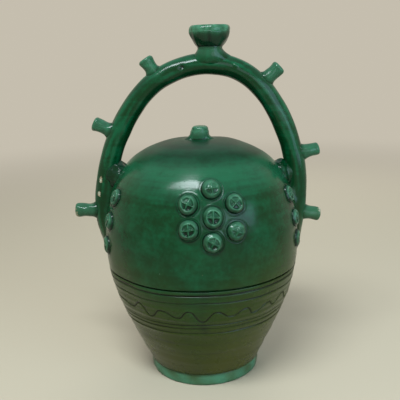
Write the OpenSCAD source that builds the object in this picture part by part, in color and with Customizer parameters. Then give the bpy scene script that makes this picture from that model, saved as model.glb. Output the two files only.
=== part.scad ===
// Closed jug with a hollow hoop handle, in millimetres. +Z is up, +X is to the right
// seen from the front, and the front looks towards -Y. The origin is on the table, at
// the centre of the foot. Each clay piece that the potter made is a node of its own.

/* [Body] */
// Largest outer radius of the belly
belly_r = 92.5; // [84:0.5:100]
// Height of the largest radius above the table
belly_z = 128; // [118:1:138]
// Height from the largest radius to the top of the dome
dome_h = 100; // [92:1:104]
// Roundness of the shoulder, 2 is an ellipse and more is squarer
dome_power = 2.6; // [2.3:0.05:2.9]
// Outer radius where the wall leaves the foot
base_r = 54.5; // [50:0.5:60]
// Growth of the radius for each mm of height just above the foot
base_flare = 0.45; // [0.35:0.01:0.55]
// Thickness of the thrown wall
wall = 5.5; // [4.5:0.1:7]
// Thickness of the floor
floor_t = 7; // [5:0.5:9]

/* [Seam between the two bowls] */
// Height of the seam, under the upper deep groove
seam_z = 111; // [104:1:116]
// Height of the tongue that the dome sits over
lap_h = 8; // [5:0.5:12]
// Gap in a round seat, where slip joins the pieces
slip_gap = 0.1; // [0.05:0.05:0.3]

/* [Grooves] */
// Drop from the upper deep groove to the lower one
deep_step = 4.5; // [4:0.1:6]
// Drop from the upper deep groove to the first thin groove
thin_drop = 12.3; // [10:0.1:15]
// Drop from the upper deep groove to the lower band of thin grooves
band_drop = 35.7; // [30:0.1:40]
// Step between the grooves of the lower band
band_step = 4.6; // [3.5:0.1:6]
// Depth of a deep groove
deep_cut = 1.1; // [0.5:0.1:1.5]
// Depth of a thin groove
thin_cut = 0.5; // [0.2:0.1:0.8]

/* [Foot] */
// Height of the foot ring
foot_h = 12.4; // [9:0.2:15]
// Outer radius of the foot ring where it rests
foot_r = 52.4; // [46:0.2:56]
// Width of the foot ring's wall
foot_w = 10; // [7:0.5:14]

/* [Knob] */
// Radius of the knob that closes the dome
knob_r = 7.8; // [6.5:0.1:10]
// Height of the knob above the dome
knob_h = 12; // [9:0.5:15]
// Radius of the stem that plugs the dome's hole
stem_r = 5; // [4:0.1:6]

/* [Handle] */
// Outer radius of the handle's tube
tube_r = 9.75; // [8.5:0.05:11]
// Radius of the tube's bore
bore_r = 4.75; // [4:0.05:5.5]
// Distance of the handle's top from the jug's axis, to the right
crown_x = 9.4; // [4:0.2:13]
// Height of the tube's centre line at the top of the handle
crown_z = 296.4; // [290:0.2:302]
// Radius of the crown's arc, left
crown_left_r = 84; // [78:0.5:88]
// Radius of the arm's arc, left
arm_left_r = 172.5; // [168:0.5:177]
// Radius of the crown's arc, right
crown_right_r = 64.5; // [60:0.5:70]
// Radius of the arm's arc, right
arm_right_r = 155; // [150:0.5:160]
// Radius of the bend that leads the handle's left end into the belly
root_bend_left_r = 50; // [45:1:60]
// Radius of the bend that leads the handle's right end into the belly
root_bend_right_r = 60; // [50:1:70]
// Height at which the tube opens into the dome
root_hole_z = 184; // [180:1:185]
// Radius of the hole from the tube into the dome
root_hole_r = 4.5; // [4:0.1:5]
// Radius of the lump of clay in the corner of each root
wad_r = 11.5; // [10:0.5:13]
// Height of the lump's middle above the corner between tube and dome
wad_up = 5; // [3:0.5:7]

/* [Funnel] */
// Distance of the funnel from the jug's axis, to the right
funnel_x = 12; // [9:0.1:15]
// Height of the funnel's waist above the tube's centre line
waist_up = 15.4; // [14:0.1:17]
// Radius of the waist
waist_r = 12.2; // [11:0.1:14]
// Radius of the collar where it spreads on the tube
collar_r = 17; // [15.5:0.1:19]
// Height of the cup from its waist to the lip
cup_h = 18.4; // [15:0.1:22]
// Largest radius of the cup
mouth_r = 18.3; // [16.5:0.1:21]
// Radius of the throat
throat_r = 4.5; // [4:0.1:5]
// Thickness of the cup's lip
lip_t = 3.2; // [2.5:0.1:4]

/* [Spouts] */
// Usual reach of a spout beyond the tube's surface
spout_l = 15.2; // [13:0.2:18]
// Outer radius of a spout at its waist
spout_r = 5.6; // [5:0.1:6.4]
// Outer radius of a spout at its lip
spout_lip_r = 6.8; // [6:0.1:8]
// Outer radius of a spout at its root
spout_root_r = 7.8; // [7:0.1:8.4]
// Radius of a spout's bore
spout_bore_r = 2.6; // [2:0.1:3]

/* [Bosses] */
// Radius of a stamped boss
boss_r = 8.8; // [8:0.1:9.5]
// Height of a boss above the belly
boss_h = 4.4; // [3:0.1:5.5]
// Radius of the stamped wheel on a boss
stamp_r = 5.4; // [4.8:0.1:6]
// Depth of the stamped wheel's four pits
pit_d = 1.1; // [0.6:0.1:1.5]
// Width of the wheel's four spokes
spoke_w = 1.2; // [0.8:0.1:1.6]
// Distance between the centres of neighbouring bosses in the rosette
rosette_pitch = 22.5; // [21.2:0.1:24]
// Turn of the rosette from the front, to the right
rosette_a = 6; // [0:0.5:10]
// Height of the rosette's centre
rosette_z = 175; // [170:1:180]
// Turn of the boss rows beside the handle's roots from the front
row_a = 65; // [62:0.5:68]
// Height of the lowest boss of a row
row_z = 136; // [130:1:138]
// Step between the bosses of a row
row_step = 22.5; // [21:0.1:25]

/* [Hidden] */

$fn = 64;
left = -1;
right = 1;

wall_steps = 22;
dome_steps = 22;
dome_z = belly_z + dome_h;
lap_r = radius_at(seam_z) - wall / 2;
waist_z = crown_z + waist_up;
cut_margin = 10;
corner_halvings = 24;

// Directions where one arc of the handle ends and the next begins, [outwards, up]. They
// are sides of 3-4-5 and 7-24-25 triangles, so that the arcs meet exactly and make one
// solid.
crown_end = [0.8, 0.6];
arm_end_left = [1, 0];
arm_end_right = [0.96, -0.28];
bend_end_left = [0.6, -0.8];
bend_end_right = [0.8, -0.6];

// Turn of each spout round the handle's arcs from straight up, and what its reach is
// more than usual: upper, middle and lower
spout_turns_left = [32.4, 64.3, 89.3];
spout_turns_right = [47.7, 77.8, 98.3];
spout_more_left = [-2.4, 0.6, 3.6];
spout_more_right = [0.2, 0, -0.6];
function spout_turns(side) = side == left ? spout_turns_left : spout_turns_right;
function spout_more(side) = side == left ? spout_more_left : spout_more_right;

glaze = [0.06, 0.30, 0.17];
glaze_light = [0.13, 0.42, 0.27];
glaze_dark = [0.04, 0.20, 0.11];

// Cubic from value a to value b, with the slopes ma and mb at its ends
function cubic(t, a, b, ma, mb) =
    (1 - 3 * t * t + 2 * t * t * t) * a + (3 * t * t - 2 * t * t * t) * b
    + (t - 2 * t * t + t * t * t) * ma + (t * t * t - t * t) * mb;

// Outer radius of the body at height z: a cubic below the largest radius, a
// superellipse above it
function lower_radius(z) =
    let (span = belly_z - foot_h)
    cubic((z - foot_h) / span, base_r, belly_r, base_flare * span, 0);
function dome_radius(z) =
    belly_r * pow(1 - pow((z - belly_z) / dome_h, dome_power), 1 / dome_power);
function radius_at(z) = z < belly_z ? lower_radius(z) : dome_radius(z);
function slope_at(z) = radius_at(z + 0.5) - radius_at(z - 0.5);

// Points of the body's side from z0 up to the largest radius, drawn in by t square to
// the wall
function side_points(z0, t) = [
    for (i = [0 : wall_steps])
        let (z = z0 + (belly_z - z0) * i / wall_steps)
        [lower_radius(z) - t * sqrt(1 + pow(slope_at(min(z, belly_z - 1)), 2)), z]
];

// Points of the dome from the largest radius up to a hole of radius r_end, drawn in by t
function dome_points(t, r_end) =
    let (
        r = belly_r - t,
        h = dome_h - t,
        e = 2 / dome_power,
        last = acos(pow(r_end / r, dome_power / 2))
    )
    [
        for (i = [1 : dome_steps])
            let (a = last * i / dome_steps)
            [r * pow(cos(a), e), belly_z + h * pow(sin(a), e)]
    ];

function backwards(points) = [for (i = [len(points) - 1 : -1 : 0]) points[i]];

// Outside of the whole body without its grooves, which everything laid on it is cut by
module body_form() {
    rotate_extrude($fn = 128)
        polygon(concat(
            [[0, foot_h]],
            side_points(foot_h, 0),
            dome_points(0, stem_r),
            [[0, dome_z]]
        ));
}

module groove(z, cut) {
    bite = cut * 1.35;
    translate([radius_at(z) + bite - cut, z]) circle(r = bite, $fn = 24);
}

// Half section of both bowls together, as one hollow wall
module body_section() {
    inner = side_points(foot_h + floor_t, wall);
    difference() {
        polygon(concat(
            [[0, foot_h]],
            side_points(foot_h, 0),
            dome_points(0, stem_r + slip_gap),
            backwards(dome_points(wall, stem_r + slip_gap)),
            backwards(inner),
            [[0, foot_h + floor_t]]
        ));
        groove(seam_z, deep_cut);
        groove(seam_z - deep_step, deep_cut);
        groove(seam_z - thin_drop, thin_cut);
        for (i = [0 : 2]) groove(seam_z - band_drop - i * band_step, thin_cut);
    }
}

// Lower bowl, whose tongue stands up inside the dome's rim
module belly() {
    color(glaze)
        rotate_extrude($fn = 128)
            intersection() {
                body_section();
                union() {
                    square([belly_r + cut_margin, seam_z]);
                    square([lap_r, seam_z + lap_h]);
                }
            }
}

// Upper bowl, thrown with a rebate over the tongue, pierced for the knob and the handle
module dome() {
    color(glaze)
        difference() {
            rotate_extrude($fn = 128)
                difference() {
                    body_section();
                    square([belly_r + cut_margin, seam_z]);
                    square([lap_r + slip_gap, seam_z + lap_h + slip_gap]);
                }
            for (side = [left, right]) root_hole(side);
        }
}

// Ring luted under the floor, with a rounded outer edge and a turned hollow inside
module foot_ring() {
    r_top = base_r - 2.5;
    bulge = 1.3;
    steps = 10;
    color(glaze_light)
        rotate_extrude($fn = 128)
            polygon(concat(
                [[foot_r - foot_w, 0]],
                [for (i = [0 : steps])
                    let (t = i / steps)
                    [foot_r + (r_top - foot_r) * t + bulge * pow(sin(180 * t), 0.7), foot_h * t]],
                [[foot_r - foot_w - 3, foot_h]]
            ));
}

// Twisted-off clay that closes the dome: a round head, a spread skirt and a stem
module crown_knob() {
    head_steps = 8;
    round_r = 2.6;
    skirt_r = knob_r * 1.9;
    head_z = dome_z + knob_h;
    neck_z = dome_z + 2.4;
    color(glaze_light)
        difference() {
            rotate_extrude()
                polygon(concat(
                    [[0, dome_z - wall], [stem_r, dome_z - wall], [stem_r, dome_z - wall / 2],
                     [skirt_r, dome_z - wall / 2], [skirt_r, dome_z - 0.7]],
                    [for (i = [1 : head_steps])
                        let (t = i / head_steps)
                        [cubic(t, skirt_r, knob_r, -skirt_r * 1.1, 0), cubic(t, dome_z - 0.7, neck_z, 0, 3)]],
                    [for (i = [0 : head_steps])
                        let (a = 90 * i / head_steps)
                        [knob_r - round_r + round_r * cos(a), head_z - round_r + round_r * sin(a)]],
                    [[0, head_z + 0.4]]
                ));
            dome_skin();
        }
}

// The dome's wall round its hole, taken out of what plugs it
module dome_skin() {
    difference() {
        body_form();
        translate([0, 0, dome_z - 2 * wall]) cylinder(r = stem_r, h = 3 * wall);
    }
}

// The handle's centre line is three arcs on each side: 0 the crown, 1 the arm and 2 the
// root's bend. A turn is the angle of the handle's outward side from straight up.
function crown_r(side) = side == left ? crown_left_r : crown_right_r;
function arm_r(side) = side == left ? arm_left_r : arm_right_r;
function bend_r(side) = side == left ? root_bend_left_r : root_bend_right_r;
function outward(side, a) = [side * sin(a), cos(a)];
function turn_of(direction) = acos(direction[1]);
function facing(side, direction) = [side * direction[0], direction[1]];
function arm_end(side) = side == left ? arm_end_left : arm_end_right;
function bend_end(side) = side == left ? bend_end_left : bend_end_right;
function crown_centre(side) = [crown_x, crown_z - crown_r(side)];
function arm_centre(side) =
    crown_centre(side) + (crown_r(side) - arm_r(side)) * facing(side, crown_end);
function bend_centre(side) =
    arm_centre(side) + (arm_r(side) - bend_r(side)) * facing(side, arm_end(side));
function arc_centre(side, i) = [crown_centre(side), arm_centre(side), bend_centre(side)][i];
function arc_radius(side, i) = [crown_r(side), arm_r(side), bend_r(side)][i];
function arc_from(side, i) = facing(side, [[0, 1], crown_end, arm_end(side)][i]);
function arc_to(side, i) = facing(side, [crown_end, arm_end(side), bend_end(side)][i]);
function arc_at(side, a) = a < turn_of(crown_end) ? 0 : a < turn_of(arm_end(side)) ? 1 : 2;
function hoop_point(side, a) =
    arc_centre(side, arc_at(side, a)) + arc_radius(side, arc_at(side, a)) * outward(side, a);

// Turn at which the arm's centre line comes down to the root hole
function hole_turn(side) = acos((root_hole_z - arm_centre(side)[1]) / arm_r(side));

// Height where the arm's inner side meets the dome, found by halving the stretch from low
// to high n times
function arm_inner_r(side, z) =
    side * arm_centre(side)[0] + sqrt(pow(arm_r(side), 2) - pow(z - arm_centre(side)[1], 2))
    - tube_r;
function corner_z(side, low, high, n) =
    let (mid = (low + high) / 2)
    n == 0 ? mid
    : arm_inner_r(side, mid) < radius_at(mid) ? corner_z(side, mid, high, n - 1)
    : corner_z(side, low, mid, n - 1);

// Whole ring of radius r round the centre of one of the handle's arcs
module ring(side, i, r) {
    centre = arc_centre(side, i);
    translate([centre[0], 0, centre[1]])
        rotate([90, 0, 0])
            rotate_extrude($fn = 128)
                translate([arc_radius(side, i), 0]) circle(r = r, $fn = 48);
}

// The stretch of a ring between two directions from its centre
module ring_part(side, i, from, to, r) {
    centre = arc_centre(side, i);
    far = 2 * arc_radius(side, i);
    intersection() {
        ring(side, i, r);
        rotate([90, 0, 0])
            linear_extrude(4 * r, center = true)
                polygon([centre, centre + far * from, centre + far * (from + to), centre + far * to]);
    }
}

module hoop_bar(r) {
    for (side = [left, right], i = [0 : 2])
        ring_part(side, i, arc_from(side, i), arc_to(side, i), r);
}

// Bore of the tube, down to just below the lowest spout of each side
module hoop_bore() {
    past = 3;
    for (side = [left, right]) {
        end = spout_turns(side)[2] + past;
        last = arc_at(side, end);
        for (i = [0 : last])
            ring_part(side, i, arc_from(side, i), i < last ? arc_to(side, i) : outward(side, end), bore_r);
    }
}

// Ring of radius r that a piece at turn a is laid on
module ring_under(side, a, r) { ring(side, arc_at(side, a), r); }

// Hole from the tube's bore through the dome's wall
module root_hole(side) {
    end = hoop_point(side, hole_turn(side));
    reach = abs(end[0]) - radius_at(root_hole_z) + 3 * wall;
    translate([end[0], 0, root_hole_z])
        rotate([0, -side * 90, 0])
            cylinder(r = root_hole_r, h = reach);
}

module throat() { translate([funnel_x, 0, crown_z]) cylinder(r = throat_r, h = waist_up + 1); }

module spout_bore(side, a) {
    on_hoop(side, a) translate([0, 0, tube_r - wall]) cylinder(r = spout_bore_r, h = 2 * wall);
}

// Hollow handle, one tube from root to root, whose ends run out on the belly
module handle_hoop() {
    color(glaze)
        difference() {
            hoop_bar(tube_r);
            body_form();
            hoop_bore();
            throat();
            for (side = [left, right]) {
                root_hole(side);
                for (a = spout_turns(side)) spout_bore(side, a);
            }
        }
}

// Lump of clay pressed into the corner between the tube and the dome
module root_wad(side) {
    corner = corner_z(side, belly_z, dome_z - tube_r, corner_halvings);
    color(glaze_dark)
        difference() {
            translate([side * radius_at(corner), 0, corner + wad_up]) sphere(r = wad_r);
            ring(side, 1, tube_r);
            body_form();
        }
}
module left_root_wad() { root_wad(left); }
module right_root_wad() { root_wad(right); }

// Lower half of the funnel, spread over the tube like a saddle
module funnel_collar() {
    steps = 10;
    drop = waist_up;
    color(glaze_light)
        difference() {
            translate([funnel_x, 0, crown_z])
                rotate_extrude()
                    polygon(concat(
                        [[throat_r, 0], [collar_r, 0]],
                        [for (i = [0 : steps])
                            let (t = i / steps)
                            [cubic(t, collar_r, waist_r, -6, -1), drop * (0.25 + 0.75 * t)]],
                        [[throat_r, drop]]
                    ));
            hoop_bar(tube_r);
        }
}

// Upper half of the funnel, an open cup with a rounded lip
module funnel_cup() {
    steps = 12;
    lip_r = lip_t / 2;
    lip_z = cup_h - lip_r;
    floor_up = 1.6;
    color(glaze_light)
        translate([funnel_x, 0, waist_z])
            rotate_extrude()
                polygon(concat(
                    [[throat_r, 0]],
                    [for (i = [0 : steps - 1])
                        let (t = i / steps)
                        [cubic(t, waist_r, mouth_r, 2, 1), (lip_z - lip_r) * t]],
                    [for (a = [-10 : 20 : 170])
                        [mouth_r - lip_r + lip_r * cos(a), lip_z + lip_r * sin(a)]],
                    [for (i = [steps - 1 : -1 : 0])
                        let (t = i / steps)
                        [cubic(t, throat_r, mouth_r - lip_t, 14, 3), floor_up + (lip_z - floor_up) * t]]
                ));
}

// Places a child on the tube's centre line, with its +Z pointing out of the handle
module on_hoop(side, a) {
    p = hoop_point(side, a);
    translate([p[0], 0, p[1]]) rotate([0, side * a, 0]) children();
}

// Drinking spout: spread root, narrow waist and a flared, rounded lip round its bore. The
// upper one of a side is number 0.
module spout(side, number) {
    steps = 12;
    edge_r = 1.1;
    a = spout_turns(side)[number];
    tip = tube_r + spout_l + spout_more(side)[number];
    start = tube_r - 4;
    color(glaze_light)
        difference() {
            on_hoop(side, a)
                rotate_extrude($fn = 48)
                    polygon(concat(
                        [[spout_bore_r, start]],
                        [for (i = [0 : steps])
                            let (t = i / steps)
                            [spout_r + (spout_root_r - spout_r) * pow(1 - t, 4)
                             + (spout_lip_r - spout_r) * pow(t, 3),
                             start + (tip - edge_r - start) * t]],
                        [for (b = [20 : 20 : 100])
                            [spout_lip_r - edge_r + edge_r * cos(b), tip - edge_r + edge_r * sin(b)]],
                        [[spout_bore_r + 1, tip - 0.4], [spout_bore_r, tip - 2.2]]
                    ));
            ring_under(side, a, tube_r);
        }
}
module spout_left_upper() { spout(left, 0); }
module spout_left_middle() { spout(left, 1); }
module spout_left_lower() { spout(left, 2); }
module spout_right_upper() { spout(right, 0); }
module spout_right_middle() { spout(right, 1); }
module spout_right_lower() { spout(right, 2); }

// Places a child on the body at turn a from the front and height z, with its +Z square
// to the surface
module on_body(a, z) {
    rotate([0, 0, a])
        translate([0, -radius_at(z), z])
            rotate([90 + atan(slope_at(z)), 0, 0])
                children();
}

// Round pat of clay pressed on the body, with a domed shoulder and a stamped wheel
module boss(a, z) {
    steps = 7;
    sunk = 5;
    wall_h = boss_h * 0.3;
    flat_r = stamp_r + 0.7;
    color(glaze_light)
        difference() {
            on_body(a, z)
                difference() {
                    rotate_extrude($fn = 48)
                        polygon(concat(
                            [[0, -sunk], [boss_r, -sunk]],
                            [for (i = [0 : steps])
                                let (b = 90 * i / steps)
                                [flat_r + (boss_r - flat_r) * cos(b), wall_h + (boss_h - wall_h) * sin(b)]],
                            [[0, boss_h]]
                        ));
                    translate([0, 0, boss_h - pit_d]) wheel_pits();
                }
            body_form();
        }
}

// The stamp's mark: a cone cut short, less the four spokes that stay
module wheel_pits() {
    difference() {
        cylinder(r1 = stamp_r - pit_d, r2 = stamp_r + pit_d, h = 2 * pit_d, $fn = 48);
        for (turn = [0, 90])
            rotate([0, 0, turn])
                cube([2 * stamp_r, spoke_w, 4 * pit_d], center = true);
    }
}

// A rosette boss: ring 0 is the centre, and turn goes round it from straight up
module rosette_boss(ring, turn) {
    dz = ring * rosette_pitch * cos(turn);
    z = rosette_z + dz / sqrt(1 + pow(slope_at(rosette_z + dz / 2), 2));
    boss(rosette_a + ring * rosette_pitch * sin(turn) / radius_at(z) * 180 / PI, z);
}
module rosette_centre() { rosette_boss(0, 0); }
module rosette_top() { rosette_boss(1, 0); }
module rosette_upper_left() { rosette_boss(1, -60); }
module rosette_upper_right() { rosette_boss(1, 60); }
module rosette_lower_left() { rosette_boss(1, -120); }
module rosette_lower_right() { rosette_boss(1, 120); }
module rosette_bottom() { rosette_boss(1, 180); }

module root_boss(side, step) { boss(side * row_a, row_z + step * row_step); }
module left_root_boss_upper() { root_boss(left, 2); }
module left_root_boss_middle() { root_boss(left, 1); }
module left_root_boss_lower() { root_boss(left, 0); }
module right_root_boss_upper() { root_boss(right, 2); }
module right_root_boss_middle() { root_boss(right, 1); }
module right_root_boss_lower() { root_boss(right, 0); }

belly();
dome();
foot_ring();
crown_knob();
handle_hoop();
left_root_wad();
right_root_wad();
funnel_collar();
funnel_cup();
spout_left_upper();
spout_left_middle();
spout_left_lower();
spout_right_upper();
spout_right_middle();
spout_right_lower();
rosette_centre();
rosette_top();
rosette_upper_left();
rosette_upper_right();
rosette_lower_left();
rosette_lower_right();
rosette_bottom();
left_root_boss_upper();
left_root_boss_middle();
left_root_boss_lower();
right_root_boss_upper();
right_root_boss_middle();
right_root_boss_lower();
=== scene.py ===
import math

import bpy
import numpy as np
from mathutils import Matrix


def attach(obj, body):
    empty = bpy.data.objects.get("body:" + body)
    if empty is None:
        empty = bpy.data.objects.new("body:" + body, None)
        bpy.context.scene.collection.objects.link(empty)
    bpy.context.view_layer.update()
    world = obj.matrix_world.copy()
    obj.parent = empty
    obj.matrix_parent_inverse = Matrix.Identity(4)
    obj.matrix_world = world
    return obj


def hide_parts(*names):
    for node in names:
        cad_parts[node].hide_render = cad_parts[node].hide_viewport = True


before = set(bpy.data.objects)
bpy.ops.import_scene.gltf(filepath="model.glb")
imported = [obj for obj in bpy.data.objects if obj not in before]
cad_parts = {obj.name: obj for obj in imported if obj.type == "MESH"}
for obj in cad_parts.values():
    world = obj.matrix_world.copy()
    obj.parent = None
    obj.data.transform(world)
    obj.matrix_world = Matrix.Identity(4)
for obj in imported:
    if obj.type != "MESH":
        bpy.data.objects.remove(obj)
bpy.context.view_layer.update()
print("frame loaded,", len(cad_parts), "clay pieces")

mm = 0.001
fullTurn = 2 * math.pi


# Smooth random field, about -1 to 1: the sum of sine waves of random direction, whose
# lengths are near `size` millimetres
def lumps(points, size, seed):
    count = 14
    rng = np.random.default_rng(seed)
    waves = rng.normal(size=(count, 3))
    waves /= np.linalg.norm(waves, axis=1)[:, None]
    waves *= (fullTurn / size * rng.uniform(0.6, 1.5, count))[:, None]
    phases = rng.uniform(0, fullTurn, count)
    return np.sin(points @ waves.T + phases).sum(axis=-1) * 0.8 / math.sqrt(count)


# Cubic from value a to value b, with the slopes ma and mb at its ends
def cubic(t, a, b, ma, mb):
    return ((1 - 3 * t**2 + 2 * t**3) * a + (3 * t**2 - 2 * t**3) * b
            + (t - 2 * t**2 + t**3) * ma + (t**3 - t**2) * mb)


# Share that rises smoothly from 0 at a to 1 at b
def rise(x, a, b):
    t = np.clip((x - a) / (b - a), 0, 1)
    return t * t * (3 - 2 * t)


# Share that falls smoothly from 1 at a to 0 at b
def fall(x, a, b):
    return rise(-x, -b, -a)


# Share that rises from a to b and falls again from c to d
def band(x, a, b, c, d):
    return rise(x, a, b) * fall(x, c, d)


# Bell curve: 1 at 0, and about a third at the width
def bell(x, width):
    return np.exp(-(x / width) ** 2)


# Angles of a ring's columns, as one row
def ringAngles(columns):
    return np.linspace(0, fullTurn, columns, endpoint=False)[None, :]


# Points round the jug's axis, at angles in radians from the front towards the right
def roundAxis(r, angle, z):
    return np.stack([r * np.sin(angle), -r * np.cos(angle), z], axis=-1)


# Angle of points from the front towards the right
def angleOf(points):
    return np.arctan2(points[..., 0], -points[..., 1])


# Number of the row for every point of a grid
def rowNumbers(grid):
    return np.arange(grid.shape[0])[:, None] * np.ones(grid.shape[1])


# Makes one closed piece from a grid of points in millimetres. Columns go round, rows go
# along, and a row drawn together in one point is a pole. With loop, the last row joins
# the first. Faces are turned to point outwards, by the sign of the volume.
def makePiece(name, grid, material, replaced, marks, loop=False):
    rows, columns = grid.shape[:2]
    ids = np.arange(rows * columns).reshape(rows, columns)
    pole = np.ptp(grid, axis=1).max(axis=1) < 1e-6
    ids[pole] = ids[pole][:, :1]
    low = ids if loop else ids[:-1]
    high = np.roll(ids, -1, axis=0) if loop else ids[1:]
    cells = np.stack([low, np.roll(low, -1, 1), np.roll(high, -1, 1), high], axis=-1)
    used, inverse = np.unique(cells, return_inverse=True)
    cells = inverse.reshape(-1, 4)
    points = grid.reshape(-1, 3)[used] * mm
    first, second, third, fourth = [points[cells[:, i]] for i in range(4)]
    volume = np.einsum("ij,ij->", first, np.cross(second, third) + np.cross(third, fourth))
    if volume < 0:
        cells = cells[:, ::-1]
    same = cells == np.roll(cells, -1, axis=1)
    narrow = same.any(axis=1)
    quads = cells[~narrow]
    triangles = cells[narrow][~same[narrow]].reshape(-1, 3)
    mesh = bpy.data.meshes.new(name)
    mesh.from_pydata(points.tolist(), [], quads.tolist() + triangles.tolist())
    mesh.shade_smooth()
    for mark, values in marks.items():
        layer = mesh.attributes.new(mark, "FLOAT", "POINT")
        layer.data.foreach_set("value", values.reshape(-1)[used].astype(np.float32))
    mesh.materials.append(material)
    piece = bpy.data.objects.new(name, mesh)
    bpy.context.scene.collection.objects.link(piece)
    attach(piece, "root")
    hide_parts(*replaced)


# Shader maths: a wire is a socket, and an expression on wires adds its Math nodes
class Wire:
    def __init__(self, finish, socket):
        self.finish, self.socket = finish, socket

    def math(self, operation, *values):
        settings = {"operation": operation}
        return self.finish.node("ShaderNodeMath", settings, dict(enumerate(values))).out(0)

    def __add__(self, other):
        return self.math("ADD", self, other)

    def __sub__(self, other):
        return self.math("SUBTRACT", self, other)

    def __rsub__(self, other):
        return self.math("SUBTRACT", other, self)

    def __mul__(self, other):
        return self.math("MULTIPLY", self, other)

    __radd__, __rmul__ = __add__, __mul__

    def absolute(self):
        return self.math("ABSOLUTE", self)

    def clamped(self):
        return self.finish.node("ShaderNodeClamp", {}, {"Value": self}).out(0)

    # Share from 0 to 1 as the value goes from a to b
    def between(self, a, b):
        made = self.finish.node("ShaderNodeMapRange", {"interpolation_type": "SMOOTHSTEP"},
                                {"Value": self, "From Min": a, "From Max": b})
        return made.out(0)


# Sum of wires, each times its share
def weighed(shares, *wires):
    return sum(wire * share for wire, share in zip(wires, shares))


# One node of a finish, whose outputs are wires
class Made:
    def __init__(self, finish, node):
        self.finish, self.node = finish, node

    def out(self, name):
        return Wire(self.finish, self.node.outputs[name])


# A material, or a world's background, and its nodes
class Finish:
    def __init__(self, name, slot=None, world=None):
        self.material = world or bpy.data.materials.new(name)
        self.material.use_nodes = True
        self.tree = self.material.node_tree
        self.tree.nodes.clear()
        if slot:
            self.material["slot"] = slot

    def node(self, kind, settings, inputs):
        made = self.tree.nodes.new(kind)
        for name, value in settings.items():
            setattr(made, name, value)
        for name, value in inputs.items():
            if isinstance(value, Made):
                value = value.out(0)
            if isinstance(value, Wire):
                self.tree.links.new(value.socket, made.inputs[name])
            else:
                made.inputs[name].default_value = value
        return Made(self, made)

    def mix(self, share, first, second):
        inputs = {"Factor": share, 6: self.colour(first), 7: self.colour(second)}
        return self.node("ShaderNodeMix", {"data_type": "RGBA"}, inputs).out(2)

    def colour(self, value):
        return (*value, 1) if isinstance(value, tuple) else value

    def close(self, shader):
        self.node("ShaderNodeOutputMaterial", {}, {"Surface": shader})
        return self.material


# Green lead glaze over red clay. Colour pools in hollows, thins on crests, and turns
# olive and brown towards the foot. Marks on the mesh: the hollow-and-shade mark above 0 in
# a cut, where the glaze pools, and in creases, corners, bores and undersides, where it is
# painted shade; both take the dark pool colour. `crest` above 0 where the glaze is thin and
# pale, and on some pieces a painted highlight or sheen; `tone` below 0 for thicker and
# above 0 for thinner glaze, and on the handle and the cup also painted shading; `bare`
# above 0 where a chip shows the clay, and `dull` above 0 where the gloss is worn. A dull
# cut low on the body takes the colour `scratch`.
glazeLook = dict(
    deep=(0.0003, 0.029, 0.0065),
    fresh=(0.0009, 0.075, 0.0270),
    pale=(0.066, 0.215, 0.122),
    olive=(0.029, 0.047, 0.0014),
    brown=(0.056, 0.059, 0.0020),
    poolAndShade=(0.0008, 0.0110, 0.0050),
    scratch=(0.0120, 0.0110, 0.0010),
    spot=(0.25, 0.42, 0.30),
    clay=(0.42, 0.46, 0.34),
    clayDark=(0.26, 0.21, 0.13),
    cloud=(24.0, 4.0), patch=(75.0, 3.0), fine=(260.0, 3.0), ragged=(620.0, 2.0),  # scale, detail
    streakScale=(7.0, 7.0, 300.0), streakDetail=3.0,
    thinShares=(0.25, 0.40, 0.35, 0.10), thinRange=(0.33, 0.78),
    brushed=0.55, brushedHeights=(160 * mm, 200 * mm),
    oliveHeights=(58 * mm, 122 * mm), oliveShift=8 * mm, oliveFall=0.50, oliveRagged=46 * mm,
    oliveLeast=0.30, oliveShares=(0.75, 0.35),
    brownHeights=(10 * mm, 70 * mm), brownShares=(0.8, 0.9),
    runShares=(1.0, 0.4), runFrom=0.76, runGain=3.0,
    speckScale=150.0, speckSize=(0.05, 0.14), speckPatches=(0.52, 0.60), speckShare=0.7,
    hollowShare=0.94, scratchHeights=(116 * mm, 124 * mm), paler=0.12,
    chipRagged=1.7, chipEdge=(0.46, 0.58), clayPatches=(0.45, 0.60),
    roughness=0.18, roughShares=(0.10, 0.10, 0.6, 0.22), ior=1.34,
    bumpStrength=0.4, bumpHeight=0.4 * mm, bumpShares=(0.15, 0.12, 0.45, 0.5, -0.9, -0.4),
    spotShare=0.5, spotCore=0.3,
    spots=(((-58, -72.5, 194.7), 1.0), ((-38, -83, 131), 0.9), ((-36.5, -84.5, 126), 0.7),
           ((-24.3, -86, 155), 0.7), ((-41, -81, 137), 0.6)),
)


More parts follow.
